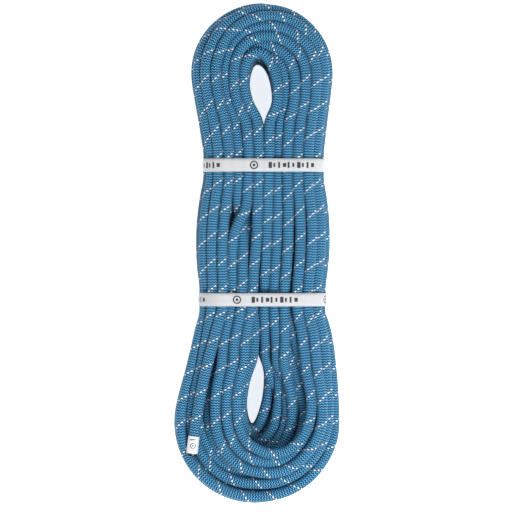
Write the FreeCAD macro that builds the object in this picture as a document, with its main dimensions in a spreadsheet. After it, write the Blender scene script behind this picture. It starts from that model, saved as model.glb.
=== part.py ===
# Dynamic climbing rope, packed as a hank: the hank's envelope, its two free ends with their
# sheath, core and labels, and the two paper bands that hold it.
# Millimetres. The hank lies flat: +Y runs along it to the upper crown, +Z is up from the floor.

import FreeCAD, Part
import math
import os
import Sketcher

V = FreeCAD.Vector
UP = V(0, 0, 1)

doc = FreeCAD.newDocument("ClimbingRope")
sheet = doc.addObject("Spreadsheet::Sheet", "Dimensions")

SIZES = [
    # The rope
    ("rope_diameter", 9.8, "single rope, outside its sheath"),
    ("sheath_wall", 1.0, "thickness of the braided sheath"),
    ("core_play", 0.05, "gap between neighbouring core strands, and to the sheath"),
    ("inner_strands", 4, "core strands round the marker yarn"),
    ("outer_strands", 10, "core strands under the sheath"),
    # Its ends
    ("label_wall", 0.3, "shrink sleeve with the printed mark"),
    ("label_length", 15.8, "length of that sleeve"),
    ("seal_length", 2.6, "heat-sealed end"),
    ("seal_round", 1.0, "rounding of the sealed end"),
    ("channel_gap", 0.3, "gap between a free end and the turns beside it"),
    ("channel_height", 12.0, "walls of the channel above the rope's centre"),
    # The hank
    ("hank_depth", 105.0, "height of the lying hank"),
    ("edge_round", 22.0, "rounding where the faces turn into the sides"),
    ("neck_round", 70.0, "easing where a neck meets its crown and the belly"),
    ("upper_crown_x", 5.0, "centre of the upper crown"),
    ("upper_crown_y", 165.0, "centre of the upper crown"),
    ("upper_crown_radius", 65.0, "outside of the upper crown"),
    ("lower_crown_x", 0.0, "centre of the lower crown"),
    ("lower_crown_y", -154.0, "centre of the lower crown"),
    ("lower_crown_radius", 76.0, "outside of the lower crown"),
    ("belly_left_radius", 300.0, "bulge between the bands, left side"),
    ("belly_right_radius", 216.0, "bulge between the bands, right side"),
    # The eyes
    ("upper_eye_x", 4.0, "centre of the opening in the upper crown"),
    ("upper_eye_y", 153.0, "centre of the opening in the upper crown"),
    ("upper_eye_width", 20.0, "its width"),
    ("upper_eye_height", 52.0, "its height"),
    ("lower_eye_x", -1.0, "centre of the opening in the lower crown"),
    ("lower_eye_y", -128.0, "centre of the opening in the lower crown"),
    ("lower_eye_width", 14.0, "its width"),
    ("lower_eye_height", 60.0, "its height"),
    ("mouth_x", 8.0, "centre of the lower eye's wider mouth"),
    ("mouth_y", -134.0, "centre of the lower eye's wider mouth"),
    ("mouth_width", 52.0, "its width"),
    ("mouth_height", 84.0, "its height"),
    ("mouth_depth", 28.0, "how far the mouth tapers in"),
    ("throat_margin", 4.0, "ledge where the mouth's taper ends round the eye"),
    # The bands
    ("band_width", 12.0, "width of the paper strip"),
    ("band_thickness", 0.25, "thickness of the paper strip"),
    ("band_gap", 0.3, "gap between band and rope"),
    ("band_travel", 6.0, "how far a band slides either way"),
    ("band_end_gap", 0.4, "gap left to the shoulder at the end of the travel"),
    ("band_overlap", 20.0, "length glued over the strip's own start"),
    ("band_ramp", 2.0, "length over which the strip climbs onto its start"),
    ("band_slit", 0.6, "gap between the strip's start and its climb"),
    ("glue_thickness", 0.1, "glue under the overlap"),
    ("seat_depth", 1.2, "how far a band presses the hank in, top and bottom"),
    ("seat_side_depth", 0.6, "how far it presses in at the sides"),
    ("upper_band_y", 81.0, "centre of the upper band"),
    ("upper_seat_left", -48.9, "left side of the hank under the upper band"),
    ("upper_seat_right", 61.9, "right side of the hank under the upper band"),
    ("lower_band_y", -41.0, "centre of the lower band"),
    ("lower_seat_left", -52.6, "left side of the hank under the lower band"),
    ("lower_seat_right", 63.8, "right side of the hank under the lower band"),
    ("seam_x", 8.0, "middle of the glued overlap, on the underside"),
]

# Sizes that follow from those above: what fits inside the sheath, and where a band runs.
DERIVED = [
    ("rope_radius", "=rope_diameter / 2"),
    ("core_radius", "=rope_radius - sheath_wall"),
    ("strand_diameter", "=(core_radius - 2 * core_play) / (1.5 + 1 / sqrt(2)) - core_play / 2"),
    ("outer_ring_radius", "=core_radius - core_play - strand_diameter / 2"),
    ("inner_ring_radius", "=outer_ring_radius - core_play - strand_diameter"),
    ("marker_radius", "=inner_ring_radius - strand_diameter / 2 - core_play"),
    ("label_radius", "=rope_radius + label_wall"),
    ("channel_radius", "=label_radius + channel_gap"),
    ("throat_x", "=lower_eye_x"),
    ("throat_y", "=lower_eye_y"),
    ("throat_width", "=lower_eye_width + 2 * throat_margin"),
    ("throat_height", "=lower_eye_height + 2 * throat_margin"),
    ("seat_length", "=band_width + 2 * (band_travel + band_end_gap)"),
]

row = 0
for name, value, meaning in SIZES:
    row += 1
    sheet.set(f"A{row}", str(value))
    sheet.setAlias(f"A{row}", name)
    sheet.set(f"B{row}", meaning)
for name, formula in DERIVED:
    row += 1
    sheet.set(f"A{row}", formula)
    sheet.setAlias(f"A{row}", name)
doc.recompute()


def size(name):
    return float(getattr(sheet, name))


def bind(feature, **expressions):
    """Bind properties of a feature to formulas over the sheet's names."""
    for prop, formula in expressions.items():
        feature.setExpression(prop, formula)
    return feature


def cell(name):
    return "Dimensions." + name


# ---------------------------------------------------------------- sketches and bodies

def new_body(label):
    body = doc.addObject("PartDesign::Body", label)
    body.Label = label
    return body


def new_sketch(body, name, role):
    sketch = body.newObject("Sketcher::SketchObject", name)
    plane = next(f for f in body.Origin.OriginFeatures if f.Role == role)
    sketch.AttachmentSupport = (plane, [""])
    sketch.MapMode = "FlatFace"
    return sketch


def total(*terms):
    """A sum of factors times the sheet's names, as a formula and as its value now."""
    formula = " + ".join(f"({factor}) * {cell(name)}" for factor, name in terms)
    return formula, sum(factor * size(name) for factor, name in terms)


def fix(sketch, geometry, point, name, x_formula, y_formula):
    """Hold one point of a sketch at formulas for its x and y."""
    here = sketch.getPoint(geometry, point)
    for kind, axis, value, formula in (("DistanceX", "x", here.x, x_formula),
                                       ("DistanceY", "y", here.y, y_formula)):
        index = sketch.addConstraint(Sketcher.Constraint(kind, -1, 1, geometry, point, value))
        sketch.renameConstraint(index, f"{name}_{axis}")
        sketch.setExpression(f"Constraints.{name}_{axis}", formula)


def fix_radius(sketch, geometry, name, formula):
    radius = sketch.Geometry[geometry].Radius
    index = sketch.addConstraint(Sketcher.Constraint("Radius", geometry, radius))
    sketch.renameConstraint(index, name)
    sketch.setExpression(f"Constraints.{name}", formula)



def pad(body, sketch, name, length_formula, both_ways=False):
    feature = body.newObject("PartDesign::Pad", name)
    feature.Profile = sketch
    if both_ways:
        feature.SideType = "Symmetric"
    return bind(feature, Length=length_formula)


PAST_FACE = " + 2"  # added to a cut's length, so that it ends outside the solid


def pocket(body, sketch, name, length_formula, both_ways=False):
    feature = body.newObject("PartDesign::Pocket", name)
    feature.Profile = sketch
    if both_ways:
        feature.SideType = "Symmetric"
    else:
        feature.Reversed = True
    return bind(feature, Length=length_formula)


def rounded_rectangle(sketch, name, sides, rounding):
    """Add a closed rectangle with round corners; its sides and rounding are totals."""
    (left, x0), (right, x1), (low, y0), (high, y1) = sides
    radius, r = rounding
    first = len(sketch.Geometry)
    corners = [(x0 + r, y0 + r, 180), (x1 - r, y0 + r, 270), (x1 - r, y1 - r, 0), (x0 + r, y1 - r, 90)]
    for x, y, start in corners:
        circle = Part.Circle(V(x, y, 0), UP, r)
        sketch.addGeometry(Part.ArcOfCircle(circle, math.radians(start), math.radians(start + 90)))
    ends = [((x0 + r, y0), (x1 - r, y0)), ((x1, y0 + r), (x1, y1 - r)),
            ((x1 - r, y1), (x0 + r, y1)), ((x0, y1 - r), (x0, y0 + r))]
    for start, end in ends:
        sketch.addGeometry(Part.LineSegment(V(*start, 0), V(*end, 0)))
    for side in range(4):
        line = first + 4 + side
        sketch.addConstraint(Sketcher.Constraint("Tangent", first + side, 2, line, 1))
        sketch.addConstraint(Sketcher.Constraint("Tangent", line, 2, first + (side + 1) % 4, 1))
        sketch.addConstraint(Sketcher.Constraint("Vertical" if side % 2 else "Horizontal", line))
    for arc in (1, 2):
        sketch.addConstraint(Sketcher.Constraint("Equal", first, first + arc))
    fix_radius(sketch, first, name + "_round", radius)
    for kind, line, word, value, formula in (("DistanceX", 7, "left", x0, left),
                                             ("DistanceX", 5, "right", x1, right),
                                             ("DistanceY", 4, "low", y0, low),
                                             ("DistanceY", 6, "high", y1, high)):
        index = sketch.addConstraint(Sketcher.Constraint(kind, -1, 1, first + line, 1, value))
        sketch.renameConstraint(index, f"{name}_{word}")
        sketch.setExpression(f"Constraints.{name}_{word}", formula)


# ---------------------------------------------------------------- the hank's envelope

def seat_sides(which, *grown_by):
    """Sides of the hank's section under a band, grown by the named sizes."""
    less = [(-1, name) for name in grown_by]
    more = [(1, name) for name in grown_by]
    return (total((1, which + "_seat_left"), *less), total((1, which + "_seat_right"), *more),
            total((1, "seat_depth"), *less), total((1, "hank_depth"), (-1, "seat_depth"), *more))


def seat_rounding(*grown_by):
    return total((1, "edge_round"), *[(1, name) for name in grown_by])


CROWN_LEAN = math.radians(10)  # how far a crown's arc runs past its half circle, as a first guess


def hank_outline(body):
    """Two round crowns joined by straight necks under the bands and a bulging belly."""
    sketch = new_sketch(body, "outline", "XY_Plane")
    side = cell("seat_side_depth")
    half = cell("seat_length") + " / 2"
    corners = []
    for which in ("upper", "lower"):
        for hand, sign in (("left", "-"), ("right", "+")):
            x = f"{cell(which + '_seat_' + hand)} {sign} {side}"
            middle = cell(which + "_band_y")
            corners.append((which, hand, x, f"{middle} + {half}", f"{middle} - {half}"))

    up = V(size("upper_crown_x"), size("upper_crown_y"), 0)
    low = V(size("lower_crown_x"), size("lower_crown_y"), 0)
    upper_radius, lower_radius = size("upper_crown_radius"), size("lower_crown_radius")
    lean = CROWN_LEAN
    upper_arc = sketch.addGeometry(Part.ArcOfCircle(
        Part.Circle(up, UP, upper_radius), -lean, math.pi + lean))
    lower_arc = sketch.addGeometry(Part.ArcOfCircle(
        Part.Circle(low, UP, lower_radius), math.pi - lean, 2 * math.pi + lean))

    lines = {}
    for which, hand, x, y_top, y_bottom in corners:
        sign = -1 if hand == "left" else 1
        neck_x = size(which + "_seat_" + hand) + sign * size("seat_side_depth")
        middle, half_length = size(which + "_band_y"), size("seat_length") / 2
        neck_top, neck_bottom = V(neck_x, middle + half_length, 0), V(neck_x, middle - half_length, 0)
        neck = sketch.addGeometry(Part.LineSegment(neck_top, neck_bottom))
        fix(sketch, neck, 1, f"{which}_{hand}_top", x, y_top)
        fix(sketch, neck, 2, f"{which}_{hand}_bottom", x, y_bottom)
        centre, radius = (up, upper_radius) if which == "upper" else (low, lower_radius)
        crown_end = centre + V(sign * radius * math.cos(lean), 0, 0)
        crown_end.y -= (1 if which == "upper" else -1) * radius * math.sin(lean)
        near, neck_end = (neck_top, 1) if which == "upper" else (neck_bottom, 2)
        taper = sketch.addGeometry(Part.LineSegment(crown_end, near))
        sketch.addConstraint(Sketcher.Constraint("Coincident", taper, 2, neck, neck_end))
        arc = upper_arc if which == "upper" else lower_arc
        arc_end = 2 if (which == "upper") == (hand == "left") else 1
        sketch.addConstraint(Sketcher.Constraint("Tangent", arc, arc_end, taper, 1))
        lines[which, hand] = neck

    for name, arc in (("upper_crown", upper_arc), ("lower_crown", lower_arc)):
        fix(sketch, arc, 3, name, cell(name + "_x"), cell(name + "_y"))
        fix_radius(sketch, arc, name + "_size", cell(name + "_radius"))

    for hand in ("left", "right"):
        radius = size(f"belly_{hand}_radius")
        top = V(size("upper_seat_" + hand), size("upper_band_y") - size("seat_length") / 2, 0)
        bottom = V(size("lower_seat_" + hand), size("lower_band_y") + size("seat_length") / 2, 0)
        chord = bottom - top
        inward = V(-chord.y, chord.x, 0).normalize() * (1 if hand == "left" else -1)
        centre = (top + bottom) * 0.5 + inward * math.sqrt(radius ** 2 - (chord.Length / 2) ** 2)
        first, last = (top, bottom) if hand == "left" else (bottom, top)
        angles = [math.atan2(p.y - centre.y, p.x - centre.x) for p in (first, last)]
        belly = sketch.addGeometry(Part.ArcOfCircle(Part.Circle(centre, UP, radius), *angles))
        upper_end, lower_end = (1, 2) if hand == "left" else (2, 1)
        sketch.addConstraint(Sketcher.Constraint("Coincident", belly, upper_end, lines["upper", hand], 2))
        sketch.addConstraint(Sketcher.Constraint("Coincident", belly, lower_end, lines["lower", hand], 1))
        fix_radius(sketch, belly, f"belly_{hand}", cell(f"belly_{hand}_radius"))
    return sketch


def ellipse_sketch(body, name, prefix, height_formula=None):
    """An upright ellipse, centred and sized by the sheet's names with this prefix."""
    sketch = new_sketch(body, name, "XY_Plane")
    centre = V(size(prefix + "_x"), size(prefix + "_y"), 0)
    height, width = size(prefix + "_height"), size(prefix + "_width")
    top, side = centre + V(0, height / 2, 0), centre + V(width / 2, 0, 0)
    ellipse = sketch.addGeometry(Part.Ellipse(top, side, centre))
    sketch.exposeInternalGeometry(ellipse)
    major, minor = ellipse + 1, ellipse + 2
    sketch.addConstraint(Sketcher.Constraint("Vertical", major))
    fix(sketch, ellipse, 3, name, cell(prefix + "_x"), cell(prefix + "_y"))
    for line, word, length in ((major, "height", height), (minor, "width", width)):
        index = sketch.addConstraint(Sketcher.Constraint("Distance", line, length))
        sketch.renameConstraint(index, f"{name}_{word}")
        sketch.setExpression(f"Constraints.{name}_{word}", cell(f"{prefix}_{word}"))
    if height_formula:
        sketch.setExpression("AttachmentOffset.Base.z", height_formula)
    return sketch


def upright_bends(shape):
    """Upright edges where the outline turns, at the ends of the necks."""
    necks = [size(f"{which}_band_y") + sign * size("seat_length") / 2
             for which in ("upper", "lower") for sign in (-1, 1)]
    return [f"Edge{i}" for i, edge in enumerate(shape.Edges, 1)
            if edge.BoundBox.ZLength > 1 and min(abs(edge.CenterOfMass.y - y) for y in necks) < 0.01]


def make_hank_body():
    body = new_body("hank_body")
    outline = hank_outline(body)
    whole = pad(body, outline, "whole", cell("hank_depth"))
    doc.recompute()

    bends = upright_bends(whole.Shape)
    eased = body.newObject("PartDesign::Fillet", "eased")
    eased.Base = (whole, bends)
    bind(eased, Radius=cell("neck_round"))
    doc.recompute()
    rims = [f"Edge{i}" for i, edge in enumerate(eased.Shape.Edges, 1) if edge.BoundBox.ZLength < 0.01]
    rounded = body.newObject("PartDesign::Fillet", "rounded")
    rounded.Base = (eased, rims)
    bind(rounded, Radius=cell("edge_round"))
    doc.recompute()

    for which in ("upper", "lower"):
        seat = new_sketch(body, which + "_seat", "XZ_Plane")
        seat.setExpression("AttachmentOffset.Base.z", f"-{cell(which + '_band_y')}")
        rounded_rectangle(seat, "inner", seat_sides(which), seat_rounding())
        rounded_rectangle(seat, "outer", seat_sides(which, "edge_round"), seat_rounding("edge_round"))
        pocket(body, seat, which + "_seat_cut", cell("seat_length"), both_ways=True)
        doc.recompute()

    for which in ("upper", "lower"):
        eye = ellipse_sketch(body, which + "_eye_outline", which + "_eye")
        pocket(body, eye, which + "_eye_hole", cell("hank_depth") + PAST_FACE)
        doc.recompute()

    start = ellipse_sketch(body, "throat_outline", "throat",
                           f"{cell('hank_depth')} - {cell('mouth_depth')}")
    end = ellipse_sketch(body, "mouth_outline", "mouth", cell("hank_depth"))
    mouth = body.newObject("PartDesign::SubtractiveLoft", "mouth_cut")
    mouth.Profile = start
    mouth.Sections = [end]
    doc.recompute()
    return body


# ---------------------------------------------------------------- routes of the free ends

# Height is counted from the face the end lies in: down from the top, or up from the floor.
FRONT_ROUTE = [(-33.0, -56.5, 5.1), (-40.3, -83.5, 5.0), (-48.4, -115.6, 5.1),
               (-54.8, -148.9, 5.4), (-58.6, -180.2, 7.4)]
BACK_ROUTE = [(-16.5, 95.5, 5.2), (-24.0, 122.0, 5.1), (-30.5, 153.0, 5.3), (-33.0, 184.0, 5.9)]
ARC_SHARE = 0.45  # of the shorter leg at a corner, taken by the arc that rounds it


def tangent_arc_path(points, label):
    """Straight runs joined by arcs as large as the two runs beside each corner allow."""
    edges, radii = [], []
    here = points[0]
    for before, corner, after in zip(points, points[1:], points[2:]):
        arrive, leave = corner - before, after - corner
        turn = arrive.getAngle(leave)
        setback = ARC_SHARE * min(arrive.Length, leave.Length)
        radius = setback / math.tan(turn / 2)
        radii.append(radius)
        start = corner - V(arrive).normalize() * setback
        end = corner + V(leave).normalize() * setback
        to_centre = (V(leave).normalize() - V(arrive).normalize()).normalize()
        centre = corner + to_centre * math.hypot(radius, setback)
        middle = centre - to_centre * radius
        edges.append(Part.LineSegment(here, start).toShape())
        edges.append(Part.Arc(start, middle, end).toShape())
        here = end
    edges.append(Part.LineSegment(here, points[-1]).toShape())
    feature = doc.addObject("Part::Feature", label)
    feature.Shape = Part.Wire(edges)
    print(f"{label}: length {feature.Shape.Length:.1f}, radii", [round(r) for r in radii])
    return feature


def route_points(name, extend=0.0):
    if name == "front":
        points = [V(x, y, size("hank_depth") - depth) for x, y, depth in FRONT_ROUTE]
    else:
        points = [V(x, y, height) for x, y, height in BACK_ROUTE]
    last_way = (points[-1] - points[-2]).normalize()
    points[-1] = points[-1] + last_way * extend
    return points


def sweep(label, section, path):
    feature = doc.addObject("Part::Sweep", label)
    feature.Sections = [section]
    feature.Spine = (path, [f"Edge{i + 1}" for i in range(len(path.Shape.Edges))])
    feature.Solid = True
    feature.Frenet = False
    return feature


def start_frame(points):
    """Place a section at the route's start: z along it, y as near to upwards as it goes."""
    way = (points[1] - points[0]).normalize()
    side = UP.cross(way).normalize()
    return FreeCAD.Placement(points[0], FreeCAD.Rotation(side, way.cross(side), way, "ZXY"))


def circle_section(label, frame, offset, radius_formula):
    circle = doc.addObject("Part::Circle", label)
    circle.Placement = frame.multiply(FreeCAD.Placement(offset, FreeCAD.Rotation()))
    return bind(circle, Radius=radius_formula)


def channel_section(label, frame, opens_up):
    """A U as wide as the free end with its label, open to the face it lies in."""
    sketch = doc.addObject("Sketcher::SketchObject", label)
    sketch.Placement = frame
    radius, wall = size("channel_radius"), size("channel_height")
    way = 1 if opens_up else -1
    first, last = (math.pi, 2 * math.pi) if opens_up else (0, math.pi)
    arc = sketch.addGeometry(Part.ArcOfCircle(Part.Circle(V(0, 0, 0), UP, radius), first, last))
    left = sketch.addGeometry(Part.LineSegment(V(-radius, 0, 0), V(-radius, way * wall, 0)))
    right = sketch.addGeometry(Part.LineSegment(V(radius, 0, 0), V(radius, way * wall, 0)))
    lid = sketch.addGeometry(Part.LineSegment(V(-radius, way * wall, 0), V(radius, way * wall, 0)))
    arc_left, arc_right = (1, 2) if opens_up else (2, 1)
    sketch.addConstraint(Sketcher.Constraint("Coincident", arc, 3, -1, 1))
    sketch.addConstraint(Sketcher.Constraint("Tangent", arc, arc_left, left, 1))
    sketch.addConstraint(Sketcher.Constraint("Tangent", arc, arc_right, right, 1))
    sketch.addConstraint(Sketcher.Constraint("Coincident", left, 2, lid, 1))
    sketch.addConstraint(Sketcher.Constraint("Coincident", right, 2, lid, 2))
    sketch.addConstraint(Sketcher.Constraint("Vertical", left))
    sketch.addConstraint(Sketcher.Constraint("Horizontal", lid))
    fix_radius(sketch, arc, "channel", cell("channel_radius"))
    index = sketch.addConstraint(Sketcher.Constraint("Distance", left, wall))
    sketch.renameConstraint(index, "wall")
    sketch.setExpression("Constraints.wall", cell("channel_height"))
    return sketch


# ---------------------------------------------------------------- the free ends

nodes = []


def ring_offsets(count, radius, phase):
    """Centres of strands spaced evenly round a ring."""
    angles = [phase + 2 * math.pi * i / count for i in range(count)]
    return [V(radius * math.cos(a), radius * math.sin(a), 0) for a in angles]


VOLUME_TOLERANCE = 0.01


def check_swept(feature, section_area, length):
    """Stop if a swept solid's volume isn't its section times its length."""
    expected = section_area * length
    share = feature.Shape.Volume / expected
    print(f"{feature.Label}: volume {feature.Shape.Volume:.1f}, section x length {expected:.1f}")
    if abs(share - 1) > VOLUME_TOLERANCE:
        raise RuntimeError(f"{feature.Label} has lost its section along the route")


def make_sheath(end, path, frame):
    """The sheath of a free end, a tube along its route."""
    outer = sweep(end + "_sheath_outside", circle_section(
        end + "_outside_ring", frame, V(0, 0, 0), cell("rope_radius")), path)
    inner = sweep(end + "_sheath_inside", circle_section(
        end + "_inside_ring", frame, V(0, 0, 0), cell("core_radius")), path)
    sheath = doc.addObject("Part::Cut", end + "_end_sheath")
    sheath.Base, sheath.Tool = outer, inner
    nodes.append(sheath)
    doc.recompute()
    area = math.pi * (size("rope_radius") ** 2 - size("core_radius") ** 2)
    check_swept(sheath, area, path.Shape.Length)


def make_core(end, path, frame):
    inner, outer = int(size("inner_strands")), int(size("outer_strands"))
    centres = ring_offsets(inner, size("inner_ring_radius"), math.pi / inner)
    centres += ring_offsets(outer, size("outer_ring_radius"), 0.0)
    strands = []
    for number, offset in enumerate(centres, 1):
        label = f"{end}_core_strand_{number:02d}"
        ring = circle_section(label + "_ring", frame, offset, cell("strand_diameter") + " / 2")
        strands.append(sweep(label, ring, path))
    marker = sweep(end + "_core_marker", circle_section(
        end + "_marker_ring", frame, V(0, 0, 0), cell("marker_radius")), path)
    nodes.extend(strands + [marker])
    doc.recompute()
    check_swept(strands[0], math.pi * (size("strand_diameter") / 2) ** 2, path.Shape.Length)


def make_label_and_seal(end, points):
    """The printed sleeve on the last straight run, and the sealed end beyond it."""
    way = (points[-1] - points[-2]).normalize()
    turn = FreeCAD.Rotation(UP, way)
    sleeve_start = points[-1] - way * size("label_length")
    walls = []
    for word, radius in (("outside", "label_radius"), ("inside", "rope_radius")):
        wall = doc.addObject("Part::Cylinder", f"{end}_label_{word}")
        wall.Placement = FreeCAD.Placement(sleeve_start, turn)
        walls.append(bind(wall, Radius=cell(radius), Height=cell("label_length")))
    label = doc.addObject("Part::Cut", end + "_end_label")
    label.Base, label.Tool = walls
    blank = doc.addObject("Part::Cylinder", end + "_seal_blank")
    blank.Placement = FreeCAD.Placement(points[-1], turn)
    bind(blank, Radius=cell("rope_radius"), Height=cell("seal_length"))
    doc.recompute()
    rim = max((e for e in blank.Shape.Edges if len(e.Vertexes) == 1 and e.Closed),
              key=lambda e: (e.CenterOfMass - points[-1]).Length)
    index = next(i for i, e in enumerate(blank.Shape.Edges, 1) if e.isSame(rim))
    seal = doc.addObject("Part::Fillet", end + "_end_seal")
    seal.Base = blank
    seal.Edges = [(index, size("seal_round"), size("seal_round"))]
    nodes.extend([label, seal])


def make_free_end(end):
    points = route_points(end)
    path = tangent_arc_path(points, end + "_path")
    frame = start_frame(points)
    make_sheath(end, path, frame)
    make_core(end, path, frame)
    make_label_and_seal(end, points)

    past_the_end = size("seal_length") + size("channel_gap")
    channel_path = tangent_arc_path(route_points(end, past_the_end), end + "_channel_path")
    section = channel_section(end + "_channel_section", frame, opens_up=(end == "front"))
    return sweep(end + "_channel", section, channel_path)


# ---------------------------------------------------------------- the bands

def polygon_sketch(body, name, which, corners):
    """A closed polygon across a band's middle plane, each corner a pair of totals."""
    sketch = new_sketch(body, name, "XZ_Plane")
    sketch.setExpression("AttachmentOffset.Base.z", f"-{cell(which + '_band_y')}")
    places = [V(x[1], z[1], 0) for x, z in corners]
    for start, end in zip(places, places[1:] + places[:1]):
        sketch.addGeometry(Part.LineSegment(start, end))
    for i, (x, z) in enumerate(corners):
        sketch.addConstraint(Sketcher.Constraint("Coincident", (i - 1) % len(corners), 2, i, 1))
        fix(sketch, i, 1, f"corner_{i}", x[0], z[0])
    return sketch


def make_band(which):
    """A strip round the hank; its end climbs over its start and is glued there, underneath."""
    body = new_body(which + "_band")
    ring = new_sketch(body, "ring", "XZ_Plane")
    ring.setExpression("AttachmentOffset.Base.z", f"-{cell(which + '_band_y')}")
    for name, grown_by in (("inner", ["band_gap"]), ("outer", ["band_gap", "band_thickness"])):
        rounded_rectangle(ring, name, seat_sides(which, *grown_by), seat_rounding(*grown_by))
    pad(body, ring, "strip", cell("band_width"), both_ways=True)
    doc.recompute()

    start = [(1, "seam_x"), (0.5, "band_overlap")]
    climb = start + [(1, "band_slit")]
    foot, top = climb + [(0.5, "band_ramp")], climb + [(1.5, "band_ramp")]
    inside = [(1, "seat_depth"), (-1, "band_gap")]
    under = inside + [(-1, "band_thickness")]
    above = under + [(-1, "glue_thickness")]
    lowest = above + [(-1, "band_thickness")]
    clear_below, clear_above = under + [(-1, "band_thickness")], inside + [(1, "band_thickness")]

    slit = polygon_sketch(body, "slit", which, [
        (total(*start), total(*clear_below)), (total(*climb), total(*clear_below)),
        (total(*climb), total(*clear_above)), (total(*start), total(*clear_above))])
    pocket(body, slit, "slit_cut", cell("band_width") + PAST_FACE, both_ways=True)
    doc.recompute()
    end = total((1, "seam_x"), (-0.5, "band_overlap"))
    tab = polygon_sketch(body, "tab", which, [
        (end, total(*above)), (end, total(*lowest)), (total(*foot), total(*lowest)),
        (total(*top), total(*under)), (total(*climb), total(*under)), (total(*climb), total(*above))])
    pad(body, tab, "overlap", cell("band_width"), both_ways=True)

    patch = doc.addObject("Part::Box", which + "_band_glue")
    bind(patch, Length=cell("band_overlap"), Width=cell("band_width"), Height=cell("glue_thickness"))
    patch.setExpression("Placement.Base.x", end[0])
    patch.setExpression("Placement.Base.y", f"{cell(which + '_band_y')} - {cell('band_width')} / 2")
    patch.setExpression("Placement.Base.z", total(*above)[0])
    nodes.extend([body, patch])
    doc.recompute()


# ---------------------------------------------------------------- assembly

def main():
    hank_body = make_hank_body()
    channels = [make_free_end(end) for end in ("front", "back")]
    doc.recompute()
    both = doc.addObject("Part::MultiFuse", "channels")
    both.Shapes = channels
    hank = doc.addObject("Part::Cut", "rope_hank")
    hank.Base, hank.Tool = hank_body, both
    nodes.append(hank)
    for which in ("upper", "lower"):
        make_band(which)
    doc.recompute()

    for feature in doc.Objects:
        if {"Invalid", "Error"} & set(feature.State):
            raise RuntimeError(f"{feature.Label} failed: {feature.State}")
    os.makedirs("parts", exist_ok=True)
    for node in nodes:
        shape = node.Shape
        if shape.isNull() or not shape.isValid() or not shape.Solids:
            raise RuntimeError(f"{node.Label} has no valid solid")
        shape.exportStep(os.path.join("parts", node.Label + ".step"))
    print(len(nodes), "nodes written")


main()
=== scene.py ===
import math

import bmesh
import bpy
import numpy as np
from bpy.props import FloatProperty, IntProperty, PointerProperty, StringProperty
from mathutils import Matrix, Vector


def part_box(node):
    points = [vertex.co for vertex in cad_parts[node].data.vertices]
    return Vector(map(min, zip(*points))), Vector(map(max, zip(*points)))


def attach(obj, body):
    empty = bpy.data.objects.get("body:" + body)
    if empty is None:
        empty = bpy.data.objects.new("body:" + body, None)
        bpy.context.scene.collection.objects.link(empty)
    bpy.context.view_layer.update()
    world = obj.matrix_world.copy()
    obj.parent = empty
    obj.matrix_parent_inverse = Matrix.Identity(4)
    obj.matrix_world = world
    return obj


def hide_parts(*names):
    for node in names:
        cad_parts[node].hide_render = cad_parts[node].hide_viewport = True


bl_info = {
    "name": "Climbing Rope Hank",
    "version": (1, 0, 0),
    "blender": (4, 5, 0),
    "location": "View3D > Sidebar > Rope",
    "description": "A kernmantle climbing rope wound into a hank and held by two paper bands",
    "category": "Add Mesh",
}

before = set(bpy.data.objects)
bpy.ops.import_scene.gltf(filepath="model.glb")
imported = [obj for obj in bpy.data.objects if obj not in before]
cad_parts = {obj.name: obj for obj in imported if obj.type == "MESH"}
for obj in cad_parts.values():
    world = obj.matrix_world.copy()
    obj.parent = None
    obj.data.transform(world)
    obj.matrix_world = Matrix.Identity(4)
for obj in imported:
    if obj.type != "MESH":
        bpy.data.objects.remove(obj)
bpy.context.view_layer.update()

MM = 0.001


# ---------------------------------------------------------------- places taken from the frame

def middle(node):
    """Middle of a node's box."""
    low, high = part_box(node)
    return (low + high) / 2


HANK_LOW, HANK_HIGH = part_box("rope_hank")
UPPER_BAND, LOWER_BAND = middle("upper_band"), middle("lower_band")
BAND_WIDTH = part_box("upper_band")[1].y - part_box("upper_band")[0].y
TRAVEL = 6.0 * MM

# The free ends' routes, from where they leave the hank to their sealed ends.
FRONT_TAIL = [(-0.0330, -0.0565, 0.0999), (-0.0403, -0.0835, 0.1000), (-0.0484, -0.1156, 0.0999),
              (-0.0548, -0.1489, 0.0996), (-0.0586, -0.1802, 0.0976)]
BACK_TAIL = [(-0.0165, 0.0955, 0.0052), (-0.0240, 0.1220, 0.0051), (-0.0305, 0.1530, 0.0053),
             (-0.0330, 0.1840, 0.0059)]


# ---------------------------------------------------------------- what a user may change

def length(name, description, millimetres):
    return FloatProperty(name=name, description=description, default=millimetres * MM, unit="LENGTH")


def colour(name, description, code):
    return StringProperty(name=name, description=description, default=code)


class RopeSettings(bpy.types.PropertyGroup):
    """Sizes of the rope and of the way it is wound."""

    diameter: length("Diameter", "Outside diameter of the rope", 9.8)
    pitch: length("Braid pitch", "Length of rope in which a yarn goes once round", 24.0)
    carriers: IntProperty(name="Yarns each way", description="Sheath yarns that turn one way",
                          default=20, min=4)
    upper_radius: length("Upper crown", "Outside radius of the upper crown", 65.0)
    lower_radius: length("Lower crown", "Outside radius of the lower crown", 76.0)
    edge_round: length("Edge rounding", "Rounding of the hank's section", 22.0)
    sides: IntProperty(name="Sides", description="Faces round the rope", default=14, min=8)
    seed: IntProperty(name="Seed", description="Picks how the turns wander", default=3)


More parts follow.
